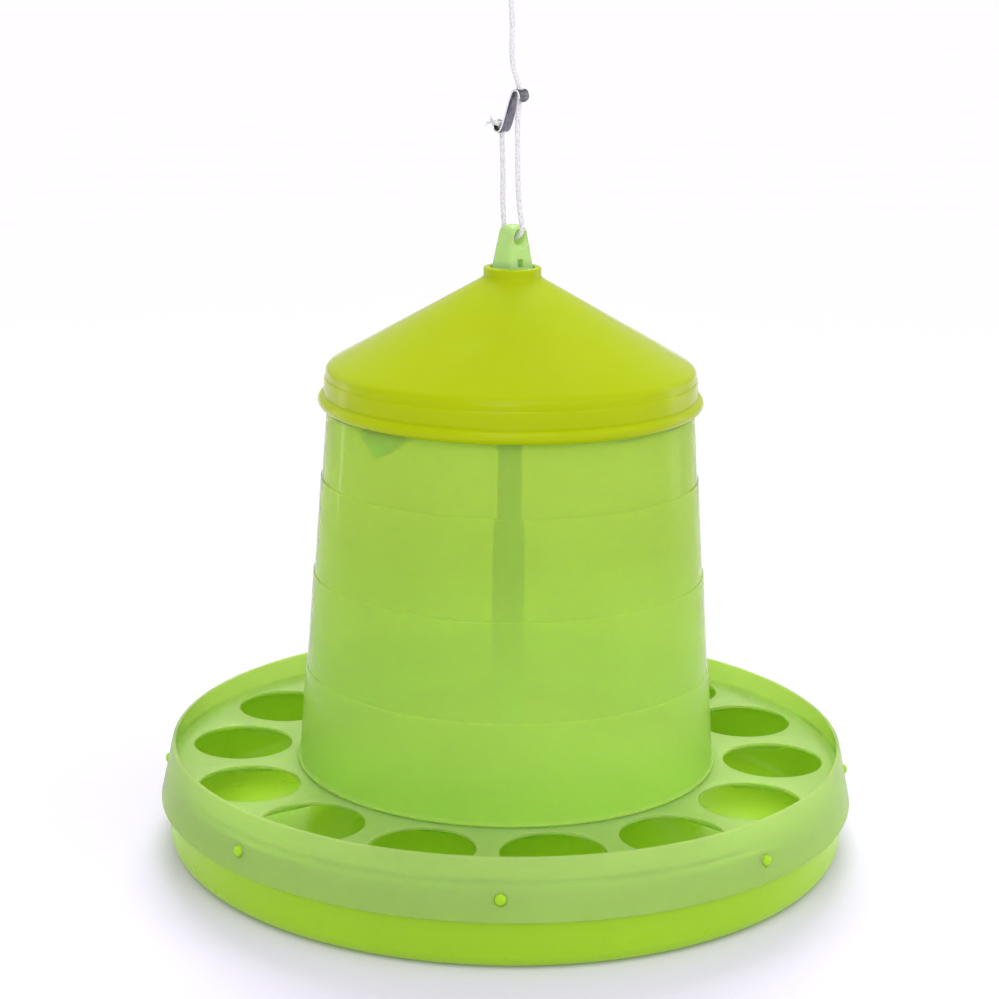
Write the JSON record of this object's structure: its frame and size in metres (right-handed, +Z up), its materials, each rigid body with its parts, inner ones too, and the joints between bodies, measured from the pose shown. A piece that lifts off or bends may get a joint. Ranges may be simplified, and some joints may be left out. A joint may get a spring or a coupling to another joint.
{
  "type": "gravity poultry feeder",
  "caption": "Hanging gravity poultry feeder: tapered translucent hopper with cone lid, anti-waste grille ring over a round feed pan, central hanging post and a cord with a height adjuster.",
  "frame": {"origin": "middle of the pan's foot, on the surface that the feeder stands on", "axes": "+Z up along the hanging post, -Y towards the front that the picture shows"},
  "size_m": [0.4, 0.4, 0.5219],
  "materials": {
    "pan_plastic": "satin moulded lime green polypropylene",
    "lid_plastic": "glossy moulded yellow-lime polypropylene",
    "translucent_plastic": "translucent pale green polypropylene, softly glossy",
    "steel": "plain bright steel plate",
    "cord": "white braided nylon"
  },
  "bodies": {
    "feeder": {"feed_pan": "pan_plastic", "feeding_grille": "translucent_plastic", "hopper": "translucent_plastic", "top_bridge": "translucent_plastic", "hanging_post": "translucent_plastic", "post_nut": "pan_plastic", "cord_adjuster": "steel", "standing_cord": "cord", "return_cord": "cord", "stopper_knot": "cord", "cord_tail": "cord", "top_knot": "cord", "cord_loop": "cord"},
    "lid": {"lid": "lid_plastic"}
  },
  "joints": [
    {"name": "lid_lift", "type": "slide", "parent": "feeder", "child": "lid", "axis": [0, 0, 1], "range_m": [0, 0.07]}
  ]
}
